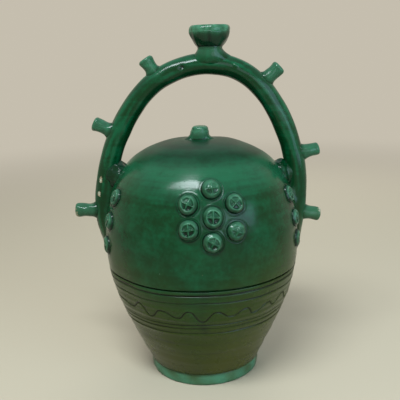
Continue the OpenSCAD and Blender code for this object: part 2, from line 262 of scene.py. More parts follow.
def glazeFinish(name, slot, paler=0.0):
    look = glazeLook
    f = Finish(name, slot)
    place = f.node("ShaderNodeTexCoord", {}, {}).out("Object")
    split = f.node("ShaderNodeSeparateXYZ", {}, {0: place})
    height, across = split.out("Z"), split.out("X")
    hollow, crest, tone, bare, dull = [
        f.node("ShaderNodeAttribute", {"attribute_name": mark}, {}).out("Fac")
        for mark in ("hollow", "crest", "tone", "bare", "dull")]

    def noise(scale, detail, vector=place):
        inputs = {"Vector": vector, "Scale": scale, "Detail": detail}
        return f.node("ShaderNodeTexNoise", {}, inputs).out(0)

    cloud, patch, fine, ragged = [noise(*look[kind])
                                  for kind in ("cloud", "patch", "fine", "ragged")]
    squashed = f.node("ShaderNodeMapping", {}, {"Vector": place, "Scale": look["streakScale"]})
    streak = noise(1.0, look["streakDetail"], squashed)

    # Olive and brown climb higher at the sides than in the middle, with a cloudy edge
    sideways = (across + look["oliveShift"]).absolute() * look["oliveFall"]
    level = height - sideways + (cloud - 0.5) * look["oliveRagged"]
    low = 1 - level.between(*look["oliveHeights"])
    lowest = 1 - level.between(*look["brownHeights"])

    # Thin and thick glaze, with brushed streaks high on the dome
    brushed = (streak - 0.5) * height.between(*look["brushedHeights"]) * look["brushed"]
    thin = weighed(look["thinShares"], cloud, patch, fine, tone) + brushed
    body = f.mix(thin.between(*look["thinRange"]), look["deep"], look["fresh"])
    brownShare = weighed(look["brownShares"], lowest, (streak - 0.5) * low)
    earthy = f.mix(brownShare.clamped(), look["olive"], look["brown"])
    oliveShare = low * (look["oliveLeast"] + weighed(look["oliveShares"], cloud, patch))
    body = f.mix(oliveShare.clamped(), body, earthy)
    run = (weighed(look["runShares"], streak, patch) - look["runFrom"]) * look["runGain"]
    body = f.mix((run * low).clamped(), body, look["poolAndShade"])
    body = f.mix((crest + paler).clamped(), body, look["pale"])

    # Dark specks, pools in the hollows and painted shade in creases and corners, and dull scratches
    cells = f.node("ShaderNodeTexVoronoi", {"feature": "F1"},
                   {"Vector": place, "Scale": look["speckScale"]})
    speck = 1 - cells.out("Distance").between(*look["speckSize"])
    speck = speck * patch.between(*look["speckPatches"])
    body = f.mix((speck * look["speckShare"]).clamped(), body, look["poolAndShade"])
    body = f.mix((hollow * look["hollowShare"]).clamped(), body, look["poolAndShade"])
    scratched = hollow * dull * (1 - height.between(*look["scratchHeights"]))
    body = f.mix(scratched.clamped(), body, look["scratch"])

    # Small pale spots, and chips down to the clay
    spots = 0
    for point, size in look["spots"]:
        near = f.node("ShaderNodeVectorMath", {"operation": "DISTANCE"},
                      {0: place, 1: tuple(v * mm for v in point)}).out("Value")
        spots = (1 - near.between(look["spotCore"] * size * mm, size * mm)) + spots
    body = f.mix((spots * look["spotShare"]).clamped(), body, look["spot"])
    chip = (bare + (ragged - 0.5) * look["chipRagged"]).between(*look["chipEdge"])
    clay = f.mix(ragged.between(*look["clayPatches"]), look["clay"], look["clayDark"])
    body = f.mix(chip, body, clay)

    rough = look["roughness"] + weighed(look["roughShares"], patch - 0.5, low, chip, dull)
    swell = weighed(look["bumpShares"], streak * low, fine, patch, spots, chip, speck)
    bump = f.node("ShaderNodeBump", {}, {
        "Strength": look["bumpStrength"], "Distance": look["bumpHeight"], "Height": swell})
    return f.close(f.node("ShaderNodeBsdfPrincipled", {}, {
        "Base Color": body, "Roughness": rough, "IOR": look["ior"], "Normal": bump}))


glazeDeep = glazeFinish("glaze deep", "glaze_deep")
glazeLight = glazeFinish("glaze light", "glaze_light", glazeLook["paler"])
print("finishes made")

# Body: the same profile as the solids. Heights and radii in millimetres from the table.
# The scratched lines are given by their heights, depth, width, how far they follow the
# line's wander, how uneven their depth is and in how many waves, and how dark they are.
body = dict(
    bellyR=92.5, bellyZ=128.0, domeH=100.0, power=2.6, baseR=54.5, baseFlare=0.45,
    footH=12.4, floorT=7.0, wall=5.5, wallAcross=1.04, seamZ=111.0, seamGap=0.02,
    lapH=8.0, lapGap=0.1, holeR=5.1, calmWidth=12.0,
    deepLines=dict(at=(111.0, 106.5), cut=1.5, width=0.75, follow=0.5, uneven=0.25,
                   waves=5, shift=2, dark=1.0),
    thinLines=dict(at=(98.7, 75.4, 71.6, 65.9), cut=0.8, width=0.50, follow=1.0, uneven=0.35,
                   waves=4, shift=1.7, dark=0.8),
    burr=0.09, lineDark=1.15, lineDull=0.9, baseShadow=0.7,
    lumpSize=48.0, lumpHeight=0.4, dentSize=17.0, dentHeight=0.04,
    wheelSteps=(5.3, 8.7, 19), wheelHeight=0.05, wheelLow=(100, 125),
    bellyColumns=600, bellyRows=dict(coarse=2.2, fine=0.36, reach=2.0),
    waveRows=(78.5, 93, 0.5),
    domeColumns=480, domeRows=dict(coarse=2.0, fine=0.34, reach=2.3),
)


# Outside radius at a height: a cubic from the base out to the belly, then a quarter of a
# superellipse
def bodyRadius(z):
    z = np.asarray(z, float)
    span = body["bellyZ"] - body["footH"]
    t = np.clip((z - body["footH"]) / span, 0, 1)
    lower = cubic(t, body["baseR"], body["bellyR"], body["baseFlare"] * span, 0)
    up = np.clip((z - body["bellyZ"]) / body["domeH"], 0, 1)
    upper = body["bellyR"] * (1 - up ** body["power"]) ** (1 / body["power"])
    return np.where(z < body["bellyZ"], lower, upper)


# Growth of the body's radius over a millimetre of height
def bodySlope(z):
    return bodyRadius(z + 0.5) - bodyRadius(z - 0.5)


# The wavy line scratched round the belly: angle from the front in degrees and height of
# each turn of the stroke, then on round the back at about the same step, where each
# crest and trough has a height and how far it strays down and up
wave = dict(
    turns=((-61, 87.2), (-49, 85), (-41, 91.8), (-34, 81), (-26, 89), (-15.5, 83.5),
           (-9, 90.5), (-1, 80), (7.5, 89.5), (16, 84), (26, 89.5), (30.5, 83), (42.5, 88.5),
           (47.5, 83.5)),
    step=8.2, stray=1.2, crest=(89, -1, 2), trough=(83, -2, 1.5), seed=5,
    cut=1.10, width=0.60,
)


# Angles and heights of all the turns of the stroke
def waveTurns():
    rng = np.random.default_rng(wave["seed"])
    turns = list(wave["turns"])
    start, end = turns[-1][0], turns[0][0] + 360
    count = int((end - start) / wave["step"]) // 2 * 2 - 1
    for i in range(1, count + 1):
        away = rng.uniform(-wave["stray"], wave["stray"])
        level, down, up = wave["crest" if i % 2 else "trough"]
        angle = start + (end - start) * i / (count + 1) + away
        turns.append((angle, level + rng.uniform(down, up)))
    turns.append((end, turns[0][1]))
    return np.array(turns, float).T


# Height of the wavy line at angles in degrees: an eased step from turn to turn
def waveHeight(turn):
    at, high = waveTurns()
    turn = (turn - at[0]) % 360 + at[0]
    i = np.clip(np.searchsorted(at, turn, side="right") - 1, 0, len(at) - 2)
    t = (turn - at[i]) / (at[i + 1] - at[i])
    t = t**3 * (10 - 15 * t + 6 * t**2)
    return high[i] * (1 - t) + high[i + 1] * t


# Cut of a scratched line: a rounded trough, with a low burr pushed up on both sides
def scratch(away, cut, width):
    return (-cut * bell(away, width)
            + body["burr"] * cut * bell(np.abs(away) - 1.9 * width, 0.8 * width))


# Relief of the body's outside along its normal, and its hollow mark, for points at an
# angle in radians from the front and a height: scratched lines, wavy line, the wheel's
# turning marks, which are stronger low down, and soft lumps
def bodyRelief(angle, z, r):
    points = roundAxis(r, angle, z)
    wander = 0.35 * np.sin(3 * angle + 1) + 0.2 * np.sin(7 * angle + 2)
    cuts, dark = np.zeros_like(z), np.zeros_like(z)
    for kind in (body["deepLines"], body["thinLines"]):
        for k, line in enumerate(kind["at"]):
            deeper = 1 + kind["uneven"] * np.sin(kind["waves"] * angle + kind["shift"] * k)
            away = z - line - kind["follow"] * wander
            cut = deeper * scratch(away, kind["cut"], kind["width"])
            cuts, dark = cuts + cut, dark - kind["dark"] * cut / kind["cut"]
    turn, near = np.degrees(angle), 0.4
    climb = waveHeight(turn + near) - waveHeight(turn - near)
    slope = climb / (r * math.radians(2 * near))
    away = (z - waveHeight(turn)) / np.sqrt(1 + slope**2)
    cut = scratch(away, wave["cut"], wave["width"])
    cuts, dark = cuts + cut, dark - cut / wave["cut"]
    close, wide, widest = [z * fullTurn / step for step in body["wheelSteps"]]
    wheel = body["wheelHeight"] * (
        np.sin(close + 0.8 * np.sin(angle + 1)) + np.sin(wide + np.sin(2 * angle))
        + 1.4 * np.sin(widest + 1.3 * np.sin(angle - 1)))
    soft = body["lumpHeight"] * lumps(points, body["lumpSize"], 3)
    soft += body["dentHeight"] * lumps(points, body["dentSize"], 4)
    high = cuts + wheel * (0.4 + 1.6 * fall(z, *body["wheelLow"])) + soft
    return high, np.clip(body["lineDark"] * dark, 0, 1)


# Points of the body's finished outside, moved `up` along its normal
def skin(angle, z, up):
    r, slope = bodyRadius(z), bodySlope(z)
    size = np.hypot(1, slope)
    up = up + bodyRelief(angle, z, r)[0]
    return roundAxis(r + up / size, angle, z - up * slope / size)


# How far points lie outside the body, about: the gap along the radius, shortened by the
# slope, or the height above the crown
def bodyGap(points):
    crownZ = body["bellyZ"] + body["domeH"]
    z = np.clip(points[..., 2], body["footH"] + 1.6, crownZ - 4)
    gap = np.hypot(points[..., 0], points[..., 1]) - bodyRadius(z)
    return np.maximum(gap / np.hypot(1, bodySlope(z)), points[..., 2] - crownZ)


# Glaze on the body: one long dark run down the front, clouds, level strokes that are
# stronger above, the upper dome, which is lighter, partly as glaze run thin and partly as
# painted sheen, and its top, which is darker and duller. Turns in degrees, heights in
# millimetres.
bodyGlaze = dict(
    runTurn=-0.6, runBend=0.9, runSpread=7, runHeights=(62, 72, 108, 116), runDark=0.50,
    runPaleAt=90, runPaleReach=(12, 19), runLeast=0.35,
    cloudSize=30, clouds=0.5, strokeSize=10, strokes=0.25, strokeHeights=(160, 195),
    upperHeights=(182, 204, 209, 219), upperThinAndSheen=1.6, upperPaleAndSheen=0.12,
    topHeights=(200, 216), topDark=0.5, topDarkHeights=(208, 220),
)


# Tone of the body's glaze, and the share of the dark run
def bodyTone(angle, z):
    q = bodyGlaze
    points = roundAxis(0.6 * bodyRadius(z), angle, 1.3 * z)
    away = (np.degrees(angle) + 180) % 360 - 180 - q["runTurn"] + q["runBend"] * np.sin(z / 6)
    strength = rise(np.abs(z - q["runPaleAt"]), *q["runPaleReach"])
    run = np.exp(-away**2 / q["runSpread"]) * (q["runLeast"] + (1 - q["runLeast"]) * strength)
    run = run * band(z, *q["runHeights"])
    strokes = q["strokes"] * (1 + rise(z, *q["strokeHeights"]))
    strokes = strokes * lumps(points * [0.25, 0.25, 1.0], q["strokeSize"], 91)
    clouds = q["clouds"] * lumps(points, q["cloudSize"], 90)
    return np.clip(clouds + strokes - 0.8 * run, -2, 1.6), run


# Share of the upper dome, from none below it to none at its top
def upperShare(z):
    return band(z, *bodyGlaze["upperHeights"])


def topShare(z):
    return rise(z, *bodyGlaze["topHeights"])


# Carries a profile of (radius, height) points round the axis. Where outer is 1 the
# relief moves a point along the profile's normal.
def turned(profile, outer, columns, relief):
    r, z = profile[:, 0], profile[:, 1]
    dr, dz = np.gradient(r), np.gradient(z)
    size = np.hypot(dr, dz) + 1e-9
    angle, r, z = np.broadcast_arrays(ringAngles(columns), r[:, None], z[:, None])
    high, hollow = relief(angle, z, r)
    high = high * outer[:, None]
    r, z = r + high * (dz / size)[:, None], z - high * (dr / size)[:, None]
    return roundAxis(r, angle, z), hollow * outer[:, None]


# Heights from low to high about `coarse` apart, and `fine` apart within reach of places
def heights(low, high, places, coarse, fine, reach):
    z = [np.linspace(low, high, int((high - low) / coarse) + 2)]
    for place in places:
        z.append(np.arange(max(low, place - reach), min(high, place + reach), fine))
    z = np.unique(np.round(np.concatenate(z), 3))
    return z[np.concatenate([[True], np.diff(z) > 0.6 * fine])]


# Belly: up the outside with close rows at the scratched lines, over the tongue at the
# rim, down the inside, one wall in, and along the flat floor to the axis
def buildBelly():
    b = body
    lines = b["deepLines"]["at"] + b["thinLines"]["at"]
    z = heights(b["footH"], b["seamZ"], lines, **b["bellyRows"])
    z = np.unique(np.concatenate([z, np.arange(*b["waveRows"])]))
    outside = np.column_stack([bodyRadius(z), z])
    lapR = float(bodyRadius(b["seamZ"])) - b["wall"] / 2
    lapZ, floorZ = b["seamZ"] + b["lapH"], b["footH"] + b["floorT"]
    zIn = np.linspace(lapZ, floorZ, 14)
    inside = np.column_stack([bodyRadius(zIn) - b["wall"] * b["wallAcross"], zIn])
    profile = np.vstack([[[0, b["footH"]], [b["baseR"] - 4, b["footH"]]], outside,
                         [[lapR, b["seamZ"]], [lapR, lapZ]], inside, [[0, floorZ]]])
    outer = np.zeros(len(profile))
    outer[3:2 + len(z)] = 1
    grid, cuts = turned(profile, outer, b["bellyColumns"], bodyRelief)
    tone, run = bodyTone(angleOf(grid), grid[..., 2])
    # Painted shadow low on the belly, where it meets the foot
    base = b["baseShadow"] * bell(grid[..., 2] - b["footH"], 1.5) * outer[:, None]
    hollow = np.clip(cuts + bodyGlaze["runDark"] * run + base, 0, 1)
    marks = {"hollow": hollow, "tone": tone, "dull": b["lineDull"] * cuts}
    makePiece("belly_glazed", grid, glazeDeep, ["belly"], marks)


# Points of a quarter superellipse from the belly's widest ring up to the knob's hole
def domeCurve(radius, height, count):
    b = body
    bend = 2 / b["power"]
    a = np.linspace(0, math.acos((b["holeR"] / radius) ** (b["power"] / 2)), count)
    return np.column_stack([radius * np.cos(a) ** bend, b["bellyZ"] + height * np.sin(a) ** bend])


# Dome: up the outside to the knob's hole, down the inside, one wall in, and over the
# rebate for the belly's tongue. The relief fades out towards the knob.
def buildDome():
    b, q = body, bodyGlaze
    seamZ, lapZ = b["seamZ"] + b["seamGap"], b["seamZ"] + b["lapH"] + b["lapGap"]
    z = heights(seamZ, b["bellyZ"], b["deepLines"]["at"], **b["domeRows"])
    low = np.column_stack([bodyRadius(z), z])
    high = domeCurve(b["bellyR"], b["domeH"], 84)[1:]
    under = domeCurve(b["bellyR"] - b["wall"], b["domeH"] - b["wall"], 26)[::-1]
    lapR = float(bodyRadius(b["seamZ"])) - b["wall"] / 2 + b["lapGap"]
    rebate = [[float(bodyRadius(lapZ)) - b["wall"], lapZ], [lapR, lapZ], [lapR, seamZ]]
    profile = np.vstack([low, high, under, rebate])
    outer = np.zeros(len(profile))
    outer[:len(low) + len(high)] = 1
    outer *= np.clip((profile[:, 0] - b["holeR"]) / b["calmWidth"], 0, 1)
    grid, cuts = turned(profile, outer, b["domeColumns"], bodyRelief)
    z, outer = grid[..., 2], outer[:, None]
    # The upper dome is paler, partly thinner glaze and partly painted sheen; its top is darker and
    # duller
    upper = upperShare(z) * outer
    topDark = q["topDark"] * rise(z, *q["topDarkHeights"]) * outer
    marks = {"hollow": np.clip(cuts + topDark, 0, 1), "crest": q["upperPaleAndSheen"] * upper,
             "tone": bodyTone(angleOf(grid), z)[0] + q["upperThinAndSheen"] * upper,
             "dull": np.clip(b["lineDull"] * cuts + topShare(z) * outer, 0, 1)}
    makePiece("dome_glazed", grid, glazeDeep, ["dome"], marks, loop=True)


buildBelly()
buildDome()
print("body made")

# Foot ring: a turned profile with a rolled outer edge, a little out of round, with drips
# at its lower edge, which is dark, and pale patches on its side
foot = dict(
    height=body["footH"], restR=52.4, topR=52.0, bulge=1.3, edge=0.8, width=10.0,
    rows=26, columns=360, lumpHeight=0.3, dentHeight=0.12, dripHeight=0.5,
    seamShadow=(10.4, 11.8), edgeDark=(0.3, 1.3), paleBelow=(9.5, 12), pale=0.60, patchy=0.34,
)


def buildFoot():
    q = foot
    t = np.linspace(0, 1, q["rows"])
    side = q["restR"] + (q["topR"] - q["restR"]) * t + q["bulge"] * np.sin(math.pi * t) ** 0.7
    outside = np.column_stack([side, q["height"] * t])
    outside[0, 0] -= q["edge"]
    inner = q["restR"] - q["width"]
    under = [[inner - 3, q["height"]], [inner - 1.5, 6.0], [inner, 0.7], [inner + 0.7, 0]]
    profile = np.vstack([outside, under])
    outer = np.zeros(len(profile))
    outer[2:len(outside) - 1] = 1

    def relief(angle, z, r):
        points = roundAxis(r, angle, z)
        drips = np.clip(lumps(points * [1, 1, 0.3], 9, 10) - 0.7, 0, 2) * fall(z, 1, 4)
        high = q["lumpHeight"] * lumps(points, 30, 8) + q["dentHeight"] * lumps(points, 7, 9)
        # The second value is painted shadow at the top of the foot, under the belly's edge
        return high + q["dripHeight"] * drips, rise(z, *q["seamShadow"])

    grid, hollow = turned(profile, outer, q["columns"], relief)
    z, outer = grid[..., 2], outer[:, None]
    edge = fall(z, *q["edgeDark"]) * outer * (0.7 + 0.5 * lumps(grid, 8, 13))
    crest = q["pale"] + q["patchy"] * lumps(grid * [1, 1, 2], 24, 12)
    marks = {"hollow": np.clip(hollow + edge, 0, 1),
             "crest": crest * fall(z, *q["paleBelow"]) * outer}
    makePiece("foot_ring_glazed", grid, glazeLight, ["foot_ring"], marks, loop=True)


buildFoot()

# Handle: three arcs on each side, given by their centres, radii and end directions. Its
# flaws are given by a place and a size, and the chips by a width and a height.
hoop = dict(
    tubeR=9.75,
    left=dict(centres=((9.4, 212.4), (80.2, 159.3), (-42.3, 159.3)), radii=(84, 172.5, 50),
              turns=(0, 53.1301, 90, 143.1301)),
    right=dict(centres=((9.4, 231.9), (-63.0, 177.6), (28.2, 151.0)), radii=(64.5, 155, 60),
               turns=(0, 53.1301, 106.2602, 126.8699)),
    columns=96, step=1.2, facets=7, facetShare=0.15, lumpHeight=0.28, streakHeight=0.09,
    meltReach=2.6, meltLift=3.2,
    chips=(((-94.0, -8.5, 192.6), (1.9, 3.4)), ((-96.3, -8.3, 179.3), (1.7, 2.7))),
    chipDepth=0.45,
    pinhole=((-13.6, -9.7, 294.1), 1.8), pinholeDepth=2.0,
    pimple=((34.9, -9.2, 294.5), 1.5), pimpleHeight=0.9,
    outerHighlight=0.12, underShade=0.5, underShadeHeights=(230, 280),
)


def hoopArcs(side):
    return hoop["left" if side < 0 else "right"]


# Point of the handle's centre line and its outward direction, for a side of -1 or 1 and
# turns from straight up in degrees
def hoopPoint(side, turn):
    arcs = hoopArcs(side)
    turn = np.asarray(turn, float)
    i = np.clip(np.searchsorted(arcs["turns"], turn, side="right") - 1, 0, 2)
    centre = np.array(arcs["centres"])[i]
    radius = np.array(arcs["radii"])[i]
    out = np.stack([side * np.sin(np.radians(turn)), np.cos(np.radians(turn))], axis=-1)
    return centre + radius[..., None] * out, out


# Turns of one side's cross-sections, about a step apart along the three arcs
def hoopTurns(side):
    arcs = hoopArcs(side)
    parts = []
    for k in range(3):
        a, b = arcs["turns"][k], arcs["turns"][k + 1]
        count = int(math.radians(b - a) * arcs["radii"][k] / hoop["step"]) + 2
        parts.append(np.linspace(a, b, count)[(1 if k else 0):])
    return np.concatenate(parts)


# How far points lie outside the tube of one side, by the nearest of its three arcs
def tubeGap(points, side):
    arcs = hoopArcs(side)
    gaps = []
    for centre, radius in zip(arcs["centres"], arcs["radii"]):
        across, up = points[..., 0] - centre[0], points[..., 2] - centre[1]
        gaps.append(np.hypot(np.hypot(across, up) - radius, points[..., 1]) - hoop["tubeR"])
    return np.min(gaps, axis=0)


# The tube: a rounded polygon carried along the centre line, each cross-section square to
# it. Its corners turn slowly along the way and its radius wanders, as hand-rolled clay
# does. Where it nears the body it swells, by a share that falls off with the gap, so that
# the two run into one another.
def buildHoop():
    q = hoop
    leftPoints, leftOut = hoopPoint(-1, hoopTurns(-1)[::-1])
    rightPoints, rightOut = hoopPoint(1, hoopTurns(1)[1:])
    middle, out = np.vstack([leftPoints, rightPoints]), np.vstack([leftOut, rightOut])
    steps = np.linalg.norm(np.diff(middle, axis=0), axis=1)
    a, s = np.meshgrid(ringAngles(q["columns"])[0], np.concatenate([[0], np.cumsum(steps)]))
    piece = fullTurn / q["facets"]
    twist = 0.5 * np.sin(s / 90) + 0.3 * np.sin(s / 37 + 1)
    facet = np.cos(math.pi / q["facets"]) / np.cos((a + twist) % piece - piece / 2)
    straight = np.stack([12 * np.cos(a), 12 * np.sin(a), s], axis=-1)
    high, streaks = lumps(straight, 26, 11), lumps(straight * [1, 1, 0.12], 7, 14)
    r = q["tubeR"] * (1 - q["facetShare"] + q["facetShare"] * facet / 0.985)
    r = r + q["lumpHeight"] * high + q["streakHeight"] * streaks

    def carried(r):
        return np.stack([middle[:, :1] + r * np.cos(a) * out[:, :1], -r * np.sin(a),
                         middle[:, 1:] + r * np.cos(a) * out[:, 1:]], axis=-1)

    gap = np.clip(bodyGap(carried(r)), 0, None)
    r = r + q["meltLift"] * np.exp(-gap / q["meltReach"])
    grid = carried(r)

    def near(point, size):
        return bell(np.linalg.norm(grid - point, axis=-1), size)

    hole, pimple = near(*q["pinhole"]), near(*q["pimple"])
    bare = np.zeros(r.shape)
    for point, (wide, tall) in q["chips"]:
        away = (grid - point) / [wide, wide, tall]
        bare = np.maximum(bare, 1.25 - 0.8 * np.linalg.norm(away, axis=-1))
    bare = np.clip(bare, 0, 1)
    flaws = q["pimpleHeight"] * pimple - q["pinholeDepth"] * hole
    grid = carried(r + flaws - q["chipDepth"] * rise(bare, 0.4, 0.6))
    ends = [np.broadcast_to(grid[k].mean(axis=0), grid[:1].shape) for k in (0, -1)]
    grid = np.concatenate([ends[0], grid, ends[1]])

    # Painted light and shade on the tube: a painted highlight on its outer side, tone lighter
    # outside and darker inside, painted shade under the crown and where the tube runs into the
    # body, and the pinhole painted dark
    crest = q["outerHighlight"] * rise(np.cos(a), 0.2, 0.95) * (1 + 0.5 * high)
    under = rise(-np.cos(a), 0.1, 0.9) * rise(middle[:, 1:], *q["underShadeHeights"])
    hollow = 1.3 * hole + 0.5 * np.exp(-gap / 1.2) + q["underShade"] * under
    marks = {"crest": np.clip(crest, 0, 1), "tone": 2.0 * streaks + 0.6 * np.cos(a) - 0.5,
             "hollow": np.clip(hollow, 0, 1), "bare": bare}
    marks = {mark: np.pad(values, ((1, 1), (0, 0))) for mark, values in marks.items()}
    makePiece("handle_hoop_glazed", grid, glazeDeep, ["handle_hoop"], marks)


buildHoop()
print("handle made")

# Spouts: side and turn on the handle, reach beyond the tube, radius at the waist and at
# the lip, lean towards the front in degrees, and the chipped part of the lip as an angle
# and a width in radians
spouts = dict(
    rows=28, columns=64, rootR=8.2, rootDepth=3.0, rootSunk=0.6, rootFlare=6, lipFlare=1.6,
    edgeR=2.7, edgeTurns=(12, 130, 11), boreR=2.6, boreRound=0.9, boreFrom=2.4, boreTo=10.0,
    wobble=0.3, crest=0.20, lipCrest=0.15, rootCrest=0.25, rootShade=0.35,
    places=(
        ("spout_left_upper", -1, 32.4, 12.8, 5.9, 7.0, 0.0, None),
        ("spout_left_middle", -1, 64.3, 15.8, 5.5, 6.8, 0.0, None),
        ("spout_left_lower", -1, 89.3, 18.8, 6.1, 6.8, 0.0, (-0.2, 1.9)),
        ("spout_right_upper", 1, 47.7, 15.4, 5.8, 7.0, 0.0, None),
        ("spout_right_middle", 1, 77.8, 15.2, 6.4, 5.7, 0.0, (3.0, 0.6)),
        ("spout_right_lower", 1, 98.3, 14.6, 6.4, 6.5, 8.0, (0.3, 0.9)),
    ),
)


# Carries a profile of (radius, distance along the axis) points round an axis from `base`
# along `out` in the plane of the handle. By the share `saddle` the points are wrapped round
# the tube, where `drop` gives the tube's drop along its own way.
def onTube(profile, columns, base, out, saddle, seed, wobble, lean=0.0, drop=None):
    across = np.array([-out[1], 0, out[0]])
    axis = np.array([out[0], 0, out[1]])
    front = np.array([0, -1.0, 0])
    a, r, up = np.broadcast_arrays(ringAngles(columns), profile[:, :1], profile[:, 1:])
    near = np.stack([r * np.cos(a), r * np.sin(a), up], axis=-1)
    r = r + wobble * lumps(near, 9, seed) * rise(r, 0, 4)
    side, share, tube = r * np.sin(a), saddle[:, None], hoop["tubeR"]
    wrappedSide, wrappedUp = up * np.sin(side / tube), up * np.cos(side / tube)
    side = side + (wrappedSide - side) * share
    up = up + (wrappedUp - up) * share
    if drop:
        up = up - share * drop(r * np.cos(a))
    side = side + np.tan(math.radians(lean)) * np.clip(up - tube, 0, None)
    return (np.array([base[0], 0, base[1]]) + (r * np.cos(a))[..., None] * across
            + side[..., None] * front + up[..., None] * axis)


# Spout: from a root that flares out on the tube, by a power of the distance, to a waist
# and out again to a rounded lip, then down a narrow bore
def buildSpout(k, name, side, turn, reach, waistR, lipR, lean, chip):
    q = spouts
    base, out = hoopPoint(side, turn)
    tip, start = hoop["tubeR"] + reach, hoop["tubeR"] - q["rootSunk"]
    t = np.linspace(0, 1, q["rows"])
    root = (q["rootR"] - waistR) * (1 - t) ** q["rootFlare"]
    outside = np.column_stack([waistR + root + (lipR - waistR) * t ** q["lipFlare"],
                               start + (tip - q["edgeR"] - start) * t])
    b = np.radians(np.linspace(*q["edgeTurns"]))
    lip = np.array([lipR, tip]) + q["edgeR"] * (np.column_stack([np.cos(b), np.sin(b)]) - 1)
    bore = [[q["boreR"] + q["boreRound"], tip - 1.0], [q["boreR"], tip - q["boreFrom"]],
            [q["boreR"], tip - q["boreTo"]], [0, tip - q["boreTo"] - 0.5]]
    deep = start - q["rootDepth"]
    profile = np.vstack([[[0, deep], [q["rootR"] - 1.2, deep]], outside, lip, bore])
    saddle = np.zeros(len(profile))
    saddle[:2] = 1
    saddle[2:2 + len(t)] = (1 - t) ** 2
    grid = onTube(profile, q["columns"], base, out, saddle, 20 + k, q["wobble"], lean)
    row, lipRow = rowNumbers(grid), len(t) + 6
    crest = q["crest"] + q["lipCrest"] * bell(row - lipRow, 3.0) - q["rootCrest"] * fall(row, 3, 9)
    # Painted shade round the root and down the bore
    hollow = np.where(row >= len(profile) - len(bore), 1.0, q["rootShade"] * bell(row - 3, 1.5))
    bare = np.zeros(grid.shape[:2])
    if chip:
        away = (ringAngles(q["columns"]) - chip[0] + math.pi) % fullTurn - math.pi
        bare = np.clip(1.25 - 0.8 * np.hypot(away / chip[1], (row - lipRow) / 6), 0, 1)
    marks = {"crest": crest, "hollow": hollow, "bare": bare, "tone": lumps(grid, 8, 25)}
    makePiece(name + "_glazed", grid, glazeLight, [name], marks)


for k, place in enumerate(spouts["places"]):
    buildSpout(k, *place)
print("spouts made")

# Funnel: a collar spread over the crown and a flared cup on it. Heights go up from the
# middle of the tube.
funnel = dict(
    x=12.0, crownZ=296.4, columns=112, wobble=0.3, cupWobble=0.35,
    waistUp=15.4, waistR=11.8, neckR=11.0, collarR=19.0, collarSunk=1.6, collarDepth=3.5,
    collarFlare=2.6, collarMelt=1.3, collarCrest=0.10,
    cupH=18.4, mouthR=18.6, throatR=4.5, lipWide=3.0, lipTall=4.2, bowl=0.95, bowlFlare=1.5,
    lipPale=0.42, lipPatchy=0.28, smearTurn=1.53, smearWidth=0.10, cupShade=0.60, insideShade=0.7,
)


# Collar: its radius goes from the edge in to the neck by a power of the height, and out
# again to the cup; low down it is wrapped round the tube and follows the crown's fall
def buildCollar(base, up):
    q, tube = funnel, hoop["tubeR"]
    t = np.linspace(0, 1, 30)
    low, deep = tube - q["collarSunk"], tube - q["collarDepth"]
    spread = (q["collarR"] - q["neckR"]) * (1 - t) ** q["collarFlare"]
    side = np.column_stack([
        q["neckR"] + spread + (q["waistR"] - q["neckR"]) * rise(t, 0.72, 1.0),
        low + (q["waistUp"] - low) * t])
    profile = np.vstack([[[q["throatR"], deep], [q["collarR"] - 1.5, deep]], side,
                         [[q["throatR"], q["waistUp"]]]])
    saddle = np.zeros(len(profile))
    saddle[1] = 1
    saddle[2:2 + len(t)] = (1 - t) ** q["collarMelt"]

    def drop(along):
        away = q["x"] + along - hoop["left"]["centres"][0][0]
        radius = np.where(away < 0, hoop["left"]["radii"][0], hoop["right"]["radii"][0])
        return radius - np.sqrt(radius**2 - away**2)

    grid = onTube(profile, q["columns"], base, up, saddle, 31, q["wobble"], drop=drop)
    row, last = rowNumbers(grid), len(t) + 1
    crest = q["collarCrest"] * rise(row, 10, 18) - glazeLook["paler"] * fall(row, 5, 18)
    # Painted shade in the crease at the waist, under the cup
    marks = {"hollow": 0.9 * bell(row - last, 2.5), "crest": crest, "tone": lumps(grid, 9, 34)}
    makePiece("funnel_collar_glazed", grid, glazeLight, ["funnel_collar"], marks, loop=True)


